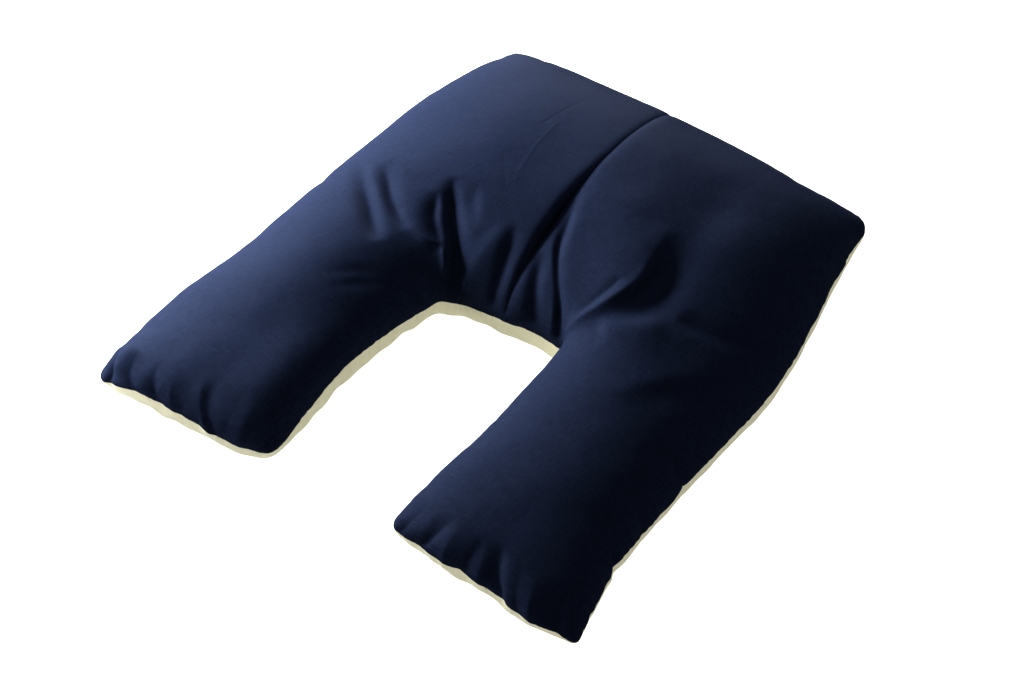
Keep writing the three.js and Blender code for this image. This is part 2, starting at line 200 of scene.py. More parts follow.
# Faint creases left by folding and pressing: places along the middle line, and depth
PRESSED_WIDTHS = (2.5, 2.5)
PRESSED_POWER = 1.2
PRESSED_CREASES = [
    dict(line=[(-65, 434), (-79, 502), (-83, 566)], depth=-0.25),
    dict(line=[(-108, 482), (-84, 448), (-60, 420)], depth=0.3),
    dict(line=[(-98, 520), (-91, 575), (-80, 640)], depth=0.22),
    dict(line=[(-300, 60), (-292, 180), (-284, 300)], depth=0.2),
    dict(line=[(60, 640), (150, 652), (240, 662)], depth=0.1),
]

# Sharpness of a pucker, and the height above the seam where it is twice as wide as at the seam
PUCKER_POWER = 1.4
PUCKER_DOUBLE_HEIGHT = 60

# Share of its depth that a pucker has at the seam, the share it gains, and the height where it has both
PUCKER_SHARES = (0.55, 0.45)
PUCKER_FULL_HEIGHT = 10

# How far from each side of the pattern a pucker can run
PUCKER_RUN = dict(front=40, right=60, left=60, back=60)

# Puckers that run up from the edge seam. at: pattern place along the side where the pucker starts, up: its
# place at the lean height above the seam, widths: to the side of lower places and to the other side
PUCKER_LEAN_HEIGHT = 30
PUCKERS = [
    dict(side="front", at=-268, up=-280, depth=6.5, widths=(6, 5), reach=22),
    dict(side="front", at=-236, up=-258, depth=4.5, widths=(5, 8), reach=22),
    dict(side="front", at=-208, up=-226, depth=4, widths=(5, 6), reach=26),
    dict(side="front", at=-190, up=-204, depth=-2, widths=(5, 5), reach=24),
    dict(side="front", at=-147, up=-172, depth=-2.5, widths=(6, 3), reach=34),
    dict(side="front", at=-140, up=-163, depth=3, widths=(4, 8), reach=32),
    dict(side="front", at=-112, up=-116, depth=-3, widths=(10, 8), reach=28),
    dict(side="front", at=92, up=106, depth=3, widths=(6, 7), reach=24),
    dict(side="front", at=117, up=134, depth=5.5, widths=(8, 5), reach=28),
    dict(side="front", at=145, up=144, depth=-2.5, widths=(5, 5), reach=24),
    dict(side="front", at=162, up=172, depth=6, widths=(5, 8), reach=26),
    dict(side="front", at=184, up=180, depth=-2, widths=(5, 5), reach=24),
    dict(side="front", at=212, up=194, depth=7.5, widths=(10, 5), reach=42),
    dict(side="front", at=232, up=218, depth=2.5, widths=(6, 6), reach=24),
    dict(side="front", at=246, up=234, depth=-2.5, widths=(5, 5), reach=22),
    dict(side="front", at=270, up=262, depth=6, widths=(9, 6), reach=34),
    dict(side="right", at=38, up=30, depth=2, widths=(6, 6), reach=20),
    dict(side="right", at=88, up=104, depth=-2.5, widths=(4, 5), reach=30),
    dict(side="right", at=101, up=116, depth=5.5, widths=(5, 7), reach=30),
    dict(side="right", at=155, up=166, depth=3.5, widths=(6, 6), reach=34),
    dict(side="right", at=236, up=246, depth=3.5, widths=(6, 8), reach=26),
    dict(side="right", at=508, up=500, depth=3, widths=(9, 8), reach=30),
    dict(side="right", at=590, up=574, depth=1.5, widths=(8, 8), reach=30),
    dict(side="right", at=640, up=616, depth=3, widths=(8, 8), reach=34),
    dict(side="left", at=372, up=366, depth=2.5, widths=(9, 9), reach=40),
    dict(side="left", at=670, up=660, depth=3, widths=(8, 8), reach=24),
    dict(side="back", at=-224, up=-218, depth=3, widths=(7, 8), reach=24),
    dict(side="back", at=-196, up=-184, depth=1.5, widths=(8, 8), reach=26),
    dict(side="back", at=206, up=190, depth=2, widths=(8, 8), reach=28),
]

# Share of a gather's height that lies below the plain cloth, and the length over which the gathers of one
# side of the pattern give way to the next side's
GATHER_LEVEL = 0.4
GATHER_BLEND = 5

# Gathers all round the edge seam: length of one, height, reach up from the seam
GATHERS = [
    dict(length=58, height=1.5, reach=24, seed=11),
    dict(length=23, height=1.0, reach=14, seed=12),
    dict(length=9, height=0.35, reach=6, seed=13),
]

# Slow waves of the whole face: length of one, height
WAVES = [
    dict(length=150, height=0.8, seed=21),
    dict(length=60, height=0.15, seed=22),
]

# Waves of the underside between its resting part and the seam
UNDERSIDE_WAVES = dict(length=42, height=1.8, seed=31)

# Unevenness: bent waves in this many directions, the ranges of their pitches, as shares of the length of
# one swing, and of their bends, and the length of a bend, in pitches
ROUGH_DIRECTIONS = 9
ROUGH_PITCHES = (0.7, 1.5)
ROUGH_BENDS = (0.5, 1.5)
ROUGH_BEND_LENGTH = 2.7

# Camera of the photograph: angles in degrees, place, lens and sensor in millimetres, clipping in metres
CAMERA_AZIMUTH = 35.108
CAMERA_ELEVATION = 46.877
CAMERA_ROLL = 0.307
CAMERA_PLACE = (1377.73, -1614.70, 2528.23)
CAMERA_LENS = 105.9
SENSOR_WIDTH = 36
CLIP_START = 0.1
CLIP_END = 60

# Looks of the two cloths, with the thread pitch in metres, and how much the slubs change the roughness
NAVY = dict(dark=(0.0129, 0.0187, 0.0398), light=(0.0238, 0.0338, 0.0715), roughness=0.6, pitch=0.0005,
            specular=0.008, specular_tint=(0.4, 0.6, 1.0))
# The cream's glow is painted light: the cloth shines with its own colour to stand in for light bounced up
# onto it from the floor
CREAM = dict(dark=(0.57, 0.55, 0.39), light=(0.69, 0.67, 0.50), roughness=0.75, pitch=0.0006, specular=0.2,
             sheen=0.15, sheen_roughness=0.5, sheen_tint=(1, 1, 0.9), glow=0.33)
ROUGHNESS_SWING = 0.06

# Weave: slant of the weft over the warp, share of each kind of thread, and relief, with its depth in metres
WEFT_SLANT = 2.5
THREAD_SHARE = 0.5
WEAVE_STRENGTH = 0.3
WEAVE_DEPTH = 0.00006

# Slubs: length in metres, how much longer than wide, fineness, the range that makes the whole shade, and
# height against a thread's
SLUB_LENGTH = 0.014
SLUB_STRETCH = 10
SLUB_DETAIL = 3
SLUB_RANGE = (0.58, 1.42)
SLUB_HEIGHT = 2

# Soft handling marks: size and depth in metres
CRUMPLE_SIZE = 0.022
CRUMPLE_DETAIL = 2
CRUMPLE_DISTORTION = 0.6
CRUMPLE_STRENGTH = 1
CRUMPLE_DEPTH = 0.0003

# Floor in metres, just below the pillow
FLOOR_HALF_WIDTH = 12
FLOOR_DROP = 0.0003
FLOOR_GREY = 0.7
FLOOR_ROUGHNESS = 0.9
FLOOR_SPECULAR = 0.1

# How bright the floor and the backdrop are to all else and to the camera, as in a cut-out photograph
FLOOR_GLOW = (0.28, 0.95)
BACKDROP_GLOW = (0.01, 0.9)

# Lights round the pillow: where from, distance and size in metres, power in watts
LIGHTS = [
    dict(name="near_softbox", direction=(-1.0, 0.0, 0.36), distance=1.3, size=(1.2, 0.5), power=54),
    dict(name="far_softbox", direction=(-0.55, 0.83, 0.15), distance=3.5, size=(1.4, 0.8), power=100),
    dict(name="top_softbox", direction=(-0.2, 0.2, 1), distance=3.2, size=(2.0, 2.0), power=18),
    dict(name="right_fill", direction=(1.0, 0.1, 0.27), distance=2.5, size=(1.2, 0.5), power=3.5),
]


def crowded(start, end, steps):
    """Places from start to end that crowd towards both, the end left out."""
    even = np.arange(steps) / steps
    crowded_share = (1 - np.cos(pi * even)) / 2
    return start + (end - start) * (even + (crowded_share - even) * EDGE_CROWDING)


class ClothGrid:
    """Lines over the flat pattern. Inside the notch there are no places."""

    def __init__(self, coarseness):
        arm, half_notch, along_arm, crosspiece = (steps // coarseness for steps in CLOTH_STEPS)
        self.columns = np.concatenate([
            crowded(-PATTERN_HALF_WIDTH, -NOTCH_HALF_WIDTH, arm),
            crowded(-NOTCH_HALF_WIDTH, 0, half_notch),
            crowded(0, NOTCH_HALF_WIDTH, half_notch),
            crowded(NOTCH_HALF_WIDTH, PATTERN_HALF_WIDTH, arm),
            [PATTERN_HALF_WIDTH],
        ])
        self.rows = np.concatenate([
            crowded(0, NOTCH_DEPTH, along_arm),
            crowded(NOTCH_DEPTH, PATTERN_LENGTH, crosspiece),
            [PATTERN_LENGTH],
        ])
        self.line = dict(
            outer_left=0, inner_left=arm, centre=arm + half_notch, inner_right=arm + 2 * half_notch,
            outer_right=2 * (arm + half_notch), front=0, notch=along_arm, back=along_arm + crosspiece,
        )
        self.shape = (len(self.columns), len(self.rows))
        inner_left, inner_right, notch = (self.line[n] for n in ("inner_left", "inner_right", "notch"))
        self.cloth = np.ones(self.shape, bool)
        self.cloth[inner_left + 1:inner_right, :notch] = False
        edge = np.zeros(self.shape, bool)
        edge[[0, -1], :] = True
        edge[:, [0, -1]] = True
        edge[[inner_left, inner_right], :notch + 1] = True
        edge[inner_left:inner_right + 1, notch] = True
        self.free = (self.cloth & ~edge).astype(float)
        self._weigh()

    def _weigh(self):
        """Pull between neighbouring places, and the cloth's area round each place."""
        across, along = np.diff(self.columns), np.diff(self.rows)
        span_across = np.zeros(self.shape[0])
        span_across[:-1] += across / 2
        span_across[1:] += across / 2
        span_along = np.zeros(self.shape[1])
        span_along[:-1] += along / 2
        span_along[1:] += along / 2
        self.pull_across = np.outer(1 / across, span_along)
        self.pull_along = np.outer(span_across, 1 / along)
        self.area = np.outer(span_across, span_along)
        self.pull_total = np.zeros(self.shape)
        self.pull_total[:-1] += self.pull_across
        self.pull_total[1:] += self.pull_across
        self.pull_total[:, :-1] += self.pull_along
        self.pull_total[:, 1:] += self.pull_along

    def unrest(self, values):
        """How far each free place is from balance with its neighbours."""
        out = self.pull_total * values
        out[:-1] -= self.pull_across * values[1:]
        out[1:] -= self.pull_across * values[:-1]
        out[:, :-1] -= self.pull_along * values[:, 1:]
        out[:, 1:] -= self.pull_along * values[:, :-1]
        return out * self.free

    def settle(self, values, load):
        """Brings the free places to balance, by conjugate steps, and keeps the edge's values."""
        values = values.copy()
        rest = load * self.area * self.free - self.unrest(values)
        eased = rest / self.pull_total
        step = eased.copy()
        measure = (rest * eased).sum()
        target = measure * SOLVER_TOLERANCE
        for _ in range(SOLVER_ROUNDS):
            if measure <= target:
                break
            change = self.unrest(step)
            amount = measure / (step * change).sum()
            values += amount * step
            rest -= amount * change
            eased = rest / self.pull_total
            new_measure = (rest * eased).sum()
            step = eased + (new_measure / measure) * step
            measure = new_measure
        return values

    def seam_places(self):
        """Grid places on the edge in order, with their places on the seam."""
        found, points = [], []
        for k, side in enumerate(SIDES):
            start, end = ((self.line[a], self.line[b]) for a, b in (CORNERS[n]["at"] for n in side["ends"]))
            count = max(abs(end[0] - start[0]), abs(end[1] - start[1]))
            i = np.round(np.linspace(start[0], end[0], count + 1)).astype(int)
            j = np.round(np.linspace(start[1], end[1], count + 1)).astype(int)
            walked = np.abs(self.columns[i] - self.columns[i[0]]) + np.abs(self.rows[j] - self.rows[j[0]])
            points.append(seam_points(k, (walked / walked[-1])[:-1]))
            found.append(np.stack([i, j], 1)[:-1])
        return np.concatenate(found), np.concatenate(points)


def smooth(value):
    value = np.clip(value, 0, 1)
    return value * value * (3 - 2 * value)


def bell(distance, width):
    return np.exp(-((distance / width) ** 2))


def crease(distance, widths, power, broadening=1):
    """Profile of a crease, 1 in its middle, with one half width below distance 0 and another above it."""
    width = np.where(distance < 0, *widths) * broadening
    return np.exp(-(np.abs(distance) / width) ** power)


def curve_through(points, shares):
    """Smooth curve through points at even steps, with shares from 0 at the first point to 1 at the last."""
    points = np.asarray(points, float)
    place = np.clip(shares, 0, 1) * (len(points) - 1)
    k = np.minimum(place.astype(int), len(points) - 2)
    t = (place - k)[:, None]
    before, start, end = points[np.maximum(k - 1, 0)], points[k], points[k + 1]
    after = points[np.minimum(k + 2, len(points) - 1)]
    leaving, arriving = (end - before) / 2, (after - start) / 2
    cubic = 2 * start - 2 * end + leaving + arriving
    square = 3 * end - 3 * start - 2 * leaving - arriving
    return ((cubic * t + square) * t + leaving) * t + start


def side_length(side):
    start, end = (np.array(CORNERS[n]["place"], float) for n in side["ends"])
    return float(np.hypot(*(end - start)[:2]))


def side_points(side, shares):
    start, end = (np.array(CORNERS[n]["place"], float) for n in side["ends"])
    along = end - start
    inward = np.array([-along[1], along[0]]) / np.hypot(*along[:2])
    curves = curve_through([(0, 0), *zip(side["drawn_in"], side["lift"]), (0, 0)], shares)
    points = start + np.outer(shares, along)
    points[:, :2] += np.outer(curves[:, 0], inward)
    points[:, 2] += curves[:, 1]
    return points


def rounded_corner(before, after, name, turns):
    """Places round a corner, with turns from 0 where its rounding starts to 1 where it ends."""
    corner = CORNERS[name]
    start = side_points(before, np.array([1 - corner["round"] / side_length(before)]))
    end = side_points(after, np.array([corner["round"] / side_length(after)]))
    t = turns[:, None]
    return (1 - t) ** 2 * start + 2 * t * (1 - t) * np.array(corner["place"], float) + t ** 2 * end


def seam_points(k, shares):
    side, before, after = SIDES[k], SIDES[k - 1], SIDES[(k + 1) % len(SIDES)]
    first, last = side["ends"]
    length = side_length(side)
    points = side_points(side, shares)
    near_start = shares * length < CORNERS[first]["round"]
    turns = 0.5 + shares * length / (2 * CORNERS[first]["round"])
    points[near_start] = rounded_corner(before, side, first, turns[near_start])
    near_end = (1 - shares) * length < CORNERS[last]["round"]
    turns = 0.5 - (1 - shares) * length / (2 * CORNERS[last]["round"])
    points[near_end] = rounded_corner(side, after, last, turns[near_end])
    return points


def spread(edge_column, load):
    """Spreads one column of the seam, x, y or height, over the cloth. With none, a load lifts the cloth."""
    values, last_grid = None, None
    for coarseness in COARSENESS:
        grid = ClothGrid(coarseness)
        if values is None:
            values = np.zeros(grid.shape)
        else:
            by_column = np.stack([np.interp(grid.columns, last_grid.columns, v) for v in values.T], 1)
            values = np.stack([np.interp(grid.rows, last_grid.rows, v) for v in by_column])
        values *= grid.free
        if edge_column is not None:
            found, points = grid.seam_places()
            values[found[:, 0], found[:, 1]] = points[:, edge_column]
        values = grid.settle(values, load)
        last_grid = grid
    return values


def nearest_on(line, x, y):
    """Distance from each place to a line, above 0 to its left, and how far along the line that is."""
    best = np.full(x.shape, np.inf)
    signed = np.zeros(x.shape)
    share = np.zeros(x.shape)
    for k, (a, b) in enumerate(zip(line[:-1], line[1:])):
        run = b - a
        t = np.clip(((x - a[0]) * run[0] + (y - a[1]) * run[1]) / (run @ run), 0, 1)
        off_x, off_y = x - a[0] - t * run[0], y - a[1] - t * run[1]
        distance = np.hypot(off_x, off_y)
        nearer = distance < best
        best[nearer] = distance[nearer]
        signed[nearer] = (distance * np.sign(run[0] * off_y - run[1] * off_x))[nearer]
        share[nearer] = ((k + t) / (len(line) - 1))[nearer]
    return signed, share


def fold_relief(fold, x, y):
    """How far one fold presses the cloth in."""
    ends = fold.get("ends", FOLD_ENDS)
    line = curve_through(fold["line"], np.linspace(0, 1, FOLD_STEPS + 1))
    widths, power = fold.get("widths", PRESSED_WIDTHS), fold.get("power", PRESSED_POWER)
    margin = FOLD_REACH * max(widths)
    near = (x > line[:, 0].min() - margin) & (x < line[:, 0].max() + margin)
    near &= (y > line[:, 1].min() - margin) & (y < line[:, 1].max() + margin)
    relief = np.zeros(x.shape)
    signed, share = nearest_on(line, x[near], y[near])
    profile = crease(-signed, widths, power)
    relief[near] = fold["depth"] * profile * smooth(ends * share) * smooth(ends * (1 - share))
    return relief


def rough_line(length, place, seed):
    """An uneven line round the whole edge, with one swing for about each length."""
    count = int(round(EDGE_LENGTH / length))
    knots = np.random.default_rng(seed).uniform(-1, 1, count)
    spot = place / EDGE_LENGTH * count
    k = np.floor(spot).astype(int)
    t = smooth(spot - k)
    return knots[k % count] * (1 - t) + knots[(k + 1) % count] * t


def rough_field(length, x, y, seed):
    """A smooth uneven height over the plan, with one swing for about each length."""
    generator = np.random.default_rng(seed)
    total = np.zeros(x.shape)
    for k in range(ROUGH_DIRECTIONS):
        angle = pi * (k + generator.uniform(0, 1)) / ROUGH_DIRECTIONS
        pitch = length * generator.uniform(*ROUGH_PITCHES)
        phase = generator.uniform(0, 2 * pi)
        bend = generator.uniform(*ROUGH_BENDS)
        across = x * cos(angle) + y * sin(angle)
        along = y * cos(angle) - x * sin(angle)
        bending = np.sin(2 * pi * along / (ROUGH_BEND_LENGTH * pitch) + bend)
        total += np.sin(2 * pi * across / pitch + phase + bend * bending)
    return total / np.sqrt(ROUGH_DIRECTIONS)


def edge_runs(grid):
    """For each side of the pattern: how far each place is from it, and how far round the edge it lies."""
    x, y = np.meshgrid(grid.columns, grid.rows, indexing="ij")
    arm = PATTERN_HALF_WIDTH - NOTCH_HALF_WIDTH
    past_notch = np.maximum(y - NOTCH_DEPTH, 0)
    beside_notch = np.maximum(np.abs(x) - NOTCH_HALF_WIDTH, 0)
    runs = []
    walked = 0
    for distance, along, length in (
        (np.hypot(y, np.maximum(x + NOTCH_HALF_WIDTH, 0)), x + PATTERN_HALF_WIDTH, arm),
        (np.where(x < 0, np.hypot(-NOTCH_HALF_WIDTH - x, past_notch), np.inf), y, NOTCH_DEPTH),
        (np.where(y >= NOTCH_DEPTH, np.hypot(y - NOTCH_DEPTH, beside_notch), np.inf), x + NOTCH_HALF_WIDTH,
         2 * NOTCH_HALF_WIDTH),
        (np.where(x > 0, np.hypot(x - NOTCH_HALF_WIDTH, past_notch), np.inf), NOTCH_DEPTH - y, NOTCH_DEPTH),
        (np.hypot(y, np.maximum(NOTCH_HALF_WIDTH - x, 0)), x - NOTCH_HALF_WIDTH, arm),
        (PATTERN_HALF_WIDTH - x, y, PATTERN_LENGTH),
        (PATTERN_LENGTH - y, PATTERN_HALF_WIDTH - x, 2 * PATTERN_HALF_WIDTH),
        (x + PATTERN_HALF_WIDTH, PATTERN_LENGTH - y, PATTERN_LENGTH),
    ):
        runs.append((distance, walked + np.clip(along, 0, length)))
        walked += length
    return runs


def gather_relief(grid, rise):
    """Gathers of the cloth where it is sewn to the edge seam: rounded ridges with sharp valleys between."""
    relief = np.zeros(grid.shape)
    total = np.zeros(grid.shape)
    for distance, place in edge_runs(grid):
        weight = np.exp(-distance / GATHER_BLEND)
        for gather in GATHERS:
            ridge = np.abs(rough_line(gather["length"] / 2, place, gather["seed"])) - GATHER_LEVEL
            relief -= weight * gather["height"] * ridge * np.exp(-rise / gather["reach"])
        total += weight
    return relief / np.maximum(total, LEAST_WEIGHT)


def pucker_relief(grid, rise):
    """Single puckers that run up from the edge seam."""
    x, y = np.meshgrid(grid.columns, grid.rows, indexing="ij")
    sides = dict(
        front=(x, y), right=(y, PATTERN_HALF_WIDTH - x), left=(y, x + PATTERN_HALF_WIDTH),
        back=(x, PATTERN_LENGTH - y),
    )
    at_seam, gained = PUCKER_SHARES
    relief = np.zeros(grid.shape)
    for pucker in PUCKERS:
        along, distance = sides[pucker["side"]]
        run = smooth(2 - 2 * distance / PUCKER_RUN[pucker["side"]])
        off = along - pucker["at"] - (pucker["up"] - pucker["at"]) * rise / PUCKER_LEAN_HEIGHT
        profile = crease(off, pucker["widths"], PUCKER_POWER, 1 + rise / PUCKER_DOUBLE_HEIGHT)
        fade = np.exp(-(rise / pucker["reach"]) ** 2) * run
        relief += pucker["depth"] * profile * fade * (at_seam + gained * smooth(rise / PUCKER_FULL_HEIGHT))
    return relief


def slope(places, cloth, axis):
    """Change of place from one grid line to the next, taken only across the cloth."""
    places, cloth = np.swapaxes(places, 0, axis), np.swapaxes(cloth, 0, axis)
    whole = cloth[1:] & cloth[:-1]
    step = np.diff(places, axis=0) * whole[..., None]
    total = np.zeros(places.shape)
    count = np.zeros(cloth.shape)
    for part in (slice(None, -1), slice(1, None)):
        total[part] += step
        count[part] += whole
    return np.swapaxes(total / np.maximum(count, 1)[..., None], 0, axis)


def normals_of(places, cloth):
    """Directions straight out of the cloth."""
    out = np.cross(slope(places, cloth, 0), slope(places, cloth, 1))
    return out / np.maximum(np.linalg.norm(out, axis=-1, keepdims=True), LEAST_LENGTH)


def shape_cover():
    """The whole form: the grid, its seam sheet, the face's places and the underside's."""
    grid = ClothGrid(COARSENESS[-1])
    x, y, seam_height = (spread(k, 0) for k in range(3))
    fullness = spread(None, 1)
    fullness = np.maximum(fullness, 0) / fullness.max()
    along = (grid.rows - NOTCH_DEPTH) / (PATTERN_LENGTH - NOTCH_DEPTH)
    x += SEAM_SWAY * np.sin(pi * np.clip(along, 0, 1)) * bell(x, NOTCH_HALF_WIDTH)
    centre, notch = grid.line["centre"], grid.line["notch"]
    centre_x = np.where(np.arange(len(grid.rows)) < notch, x[centre, notch], x[centre])
    from_centre = x - centre_x
    seam_fade = smooth(fullness / CREASE_FADE)

    rise = FACE_CROWN * fullness ** FACE_POWER
    broad = sum(s["depth"] * bell(x - s["x"], s["across"]) * bell(y - s["y"], s["along"]) for s in SWELLS)
    face = np.stack([x, y, seam_height + rise - broad * seam_fade], -1)

    relief = sum(fold_relief(fold, x, y) for fold in FOLDS + PRESSED_CREASES)
    relief += SEAM_DEPTH * crease(from_centre, SEAM_WIDTHS, SEAM_POWER)
    valley_depth = SEAM_VALLEY["depth"] * bell(y - SEAM_VALLEY["y"], SEAM_VALLEY["spread"])
    relief += valley_depth * crease(from_centre, SEAM_VALLEY["widths"], SEAM_VALLEY["power"])
    relief += sum(w["height"] * rough_field(w["length"], x, y, w["seed"]) for w in WAVES)
    edge_relief = gather_relief(grid, rise) + pucker_relief(grid, rise)
    outward = normals_of(face, grid.cloth)
    face -= outward * (relief * seam_fade + edge_relief)[..., None]
    seam_sheet = np.stack([x, y, seam_height], -1) - outward * edge_relief[..., None]

    settled = np.minimum(np.sqrt(fullness / RESTING_SHARE), 1)
    underside_height = seam_height * (1 - settled) ** UNDERSIDE_POWER
    underside = np.stack([x, y, underside_height], -1)
    underside -= outward * (edge_relief * (1 - settled) ** 2)[..., None]
    between = 4 * settled * (1 - settled)
    waves = rough_field(UNDERSIDE_WAVES["length"], x, y, UNDERSIDE_WAVES["seed"])
    underside[..., 2] += UNDERSIDE_WAVES["height"] * between * waves
    underside[..., 2] = np.maximum(underside[..., 2], 0)
    return grid, seam_sheet, face, underside


def panel_mesh(name, grid, sheet, surface, sideways, outward):
    """One sewn panel of the cover with its share of the filling, closed by flat triangles across its rim."""
    line = grid.line
    centre, notch, back = line["centre"], line["notch"], line["back"]
    low, high = (0, centre) if sideways < 0 else (centre, line["outer_right"])
    in_half = np.zeros(grid.shape, bool)
    in_half[low:high + 1] = True
    in_half &= grid.cloth
    index = np.full(grid.shape, -1)
    index[in_half] = np.arange(in_half.sum())

    places = surface.copy()
    found, _ = grid.seam_places()
    places[found[:, 0], found[:, 1]] = sheet[found[:, 0], found[:, 1]]
    places[found[:, 0], found[:, 1], 2] += outward * PANEL_GAP / 2
    places[centre, :, 0] += sideways * PANEL_GAP / 2
    verts = places[in_half]

    wall = np.arange(notch + 1, back)
    wall_places = sheet[centre, wall] + np.array([sideways, 0, outward]) * PANEL_GAP / 2
    wall_index = len(verts) + np.arange(len(wall))
    wall_index = np.concatenate([[index[centre, notch]], wall_index, [index[centre, back]]])
    verts = np.concatenate([verts, wall_places])
    pattern = np.stack(np.meshgrid(grid.columns, grid.rows, indexing="ij"), -1)
    flat = np.concatenate([pattern[in_half], pattern[centre, wall]])

    i, j = np.meshgrid(np.arange(low, high), np.arange(back), indexing="ij")
    in_notch = (i >= line["inner_left"]) & (i < line["inner_right"]) & (j < notch)
    i, j = i[~in_notch], j[~in_notch]
    quads = np.stack([index[i, j], index[i + 1, j], index[i + 1, j + 1], index[i, j + 1]], 1)
    if outward < 0:
        quads = quads[:, ::-1]
    faces = quads.tolist()

    face_line = index[centre, notch:back + 1]
    for near in range(back - notch):
        far = near + 1
        strip = [face_line[near], face_line[far], wall_index[far], wall_index[near]]
        strip = [int(v) for n, v in enumerate(strip) if v not in strip[:n]]
        faces.append(strip if outward * sideways < 0 else strip[::-1])

    rim = [tuple(p) for p in found if low <= p[0] <= high and p[0] != centre]
    loop = [int(index[p]) for p in rim]
    first_row = notch if sideways > 0 else back
    start = next(n for n, p in enumerate(rim) if abs(p[0] - centre) == 1 and p[1] == first_row)
    loop = loop[start:] + loop[:start]
    loop += wall_index.tolist() if sideways < 0 else wall_index[::-1].tolist()
    corners = [Vector((*verts[v][:2], 0)) for v in loop]
    for triangle in tessellate_polygon([corners]):
        a, b, c = (corners[n] for n in triangle)
        turned_left = (b - a).cross(c - a).z > 0
        ordered = [loop[n] for n in triangle]
        faces.append(ordered if turned_left == (outward < 0) else ordered[::-1])

    verts = (verts - np.array([*PLAN_MIDDLE, 0])) * MM
    mesh = bpy.data.meshes.new(name)
    mesh.from_pydata(verts.tolist(), [], faces)
    cloth_place = mesh.attributes.new("cloth_place", "FLOAT_VECTOR", "POINT")
    flat_places = np.concatenate([flat, np.zeros((len(flat), 1))], 1) * MM
    cloth_place.data.foreach_set("vector", flat_places.astype(np.float32).ravel())
    mesh.validate()
    mesh.shade_smooth()
    mesh.set_sharp_from_angle(angle=radians(SHARP_ANGLE))
    mesh.update()
    return mesh


def new_group(name, inputs, outputs):
    """A shader group with its sockets. The inputs and outputs are names with kinds of sockets."""
    group = bpy.data.node_groups.new(name, "ShaderNodeTree")
    for way, sockets in (("INPUT", inputs), ("OUTPUT", outputs)):
        for label, kind in sockets.items():
            group.interface.new_socket(name=label, in_out=way, socket_type=kind)
    return group


def math_node(nodes, links, operation, a, b=None):
    node = nodes.new("ShaderNodeMath")
    node.operation = operation
    for k, value in enumerate((a, b)):
        if value is None:
            continue
        if isinstance(value, (int, float)):
            node.inputs[k].default_value = value
        else:
            links.new(value, node.inputs[k])
    return node.outputs[0]


def weave_group():
    """Warp and weft threads with slubs: a shade from 0 to 1 and a height."""
    group = new_group(
        "satin_weave",
        {"Place": "NodeSocketVector", "Thread pitch": "NodeSocketFloat", "Slub length": "NodeSocketFloat"},
        {"Shade": "NodeSocketFloat", "Height": "NodeSocketFloat"},
    )
    nodes, links = group.nodes, group.links
    entry, leave = nodes.new("NodeGroupInput"), nodes.new("NodeGroupOutput")
    apart = nodes.new("ShaderNodeSeparateXYZ")
    links.new(entry.outputs["Place"], apart.inputs[0])
    turn = math_node(nodes, links, "DIVIDE", 2 * pi, entry.outputs["Thread pitch"])
    warp = math_node(nodes, links, "SINE", math_node(nodes, links, "MULTIPLY", apart.outputs[0], turn))
    slanted = math_node(nodes, links, "MULTIPLY", apart.outputs[1], WEFT_SLANT)
    crossing = math_node(nodes, links, "ADD", apart.outputs[0], slanted)
    weft = math_node(nodes, links, "SINE", math_node(nodes, links, "MULTIPLY", crossing, turn))
    threads = math_node(nodes, links, "ADD", math_node(nodes, links, "MULTIPLY", warp, THREAD_SHARE),
                        math_node(nodes, links, "MULTIPLY", weft, THREAD_SHARE))

    def slubs(stretch):
        mapping = nodes.new("ShaderNodeMapping")
        links.new(entry.outputs["Place"], mapping.inputs["Vector"])
        mapping.inputs["Scale"].default_value = stretch
        speckle = nodes.new("ShaderNodeTexNoise")
        links.new(mapping.outputs[0], speckle.inputs["Vector"])
        scale = math_node(nodes, links, "DIVIDE", 1, entry.outputs["Slub length"])
        links.new(scale, speckle.inputs["Scale"])
        speckle.inputs["Detail"].default_value = SLUB_DETAIL
        return speckle.outputs["Fac"]

    mixed = math_node(nodes, links, "ADD", slubs((SLUB_STRETCH, 1, 1)), slubs((1, SLUB_STRETCH, 1)))
    spread_out = nodes.new("ShaderNodeMapRange")
    spread_out.inputs["From Min"].default_value, spread_out.inputs["From Max"].default_value = SLUB_RANGE
    links.new(mixed, spread_out.inputs["Value"])
    shade = spread_out.outputs["Result"]
    raised = math_node(nodes, links, "MULTIPLY", shade, SLUB_HEIGHT)
    height = math_node(nodes, links, "ADD", threads, raised)
    links.new(shade, leave.inputs["Shade"])
    links.new(height, leave.inputs["Height"])
    return group


def crumple_group():
    """Soft handling marks over the cloth: a height."""
    group = new_group(
        "soft_crumple",
        {"Place": "NodeSocketVector", "Size": "NodeSocketFloat"},
        {"Height": "NodeSocketFloat"},
    )
    nodes, links = group.nodes, group.links
    entry, leave = nodes.new("NodeGroupInput"), nodes.new("NodeGroupOutput")
    scale = math_node(nodes, links, "DIVIDE", 1, entry.outputs["Size"])
    soft = nodes.new("ShaderNodeTexNoise")
    links.new(entry.outputs["Place"], soft.inputs["Vector"])
    links.new(scale, soft.inputs["Scale"])
    soft.inputs["Detail"].default_value = CRUMPLE_DETAIL
    soft.inputs["Distortion"].default_value = CRUMPLE_DISTORTION
    links.new(soft.outputs["Fac"], leave.inputs["Height"])
    return group


WEAVE = weave_group()
CRUMPLE = crumple_group()


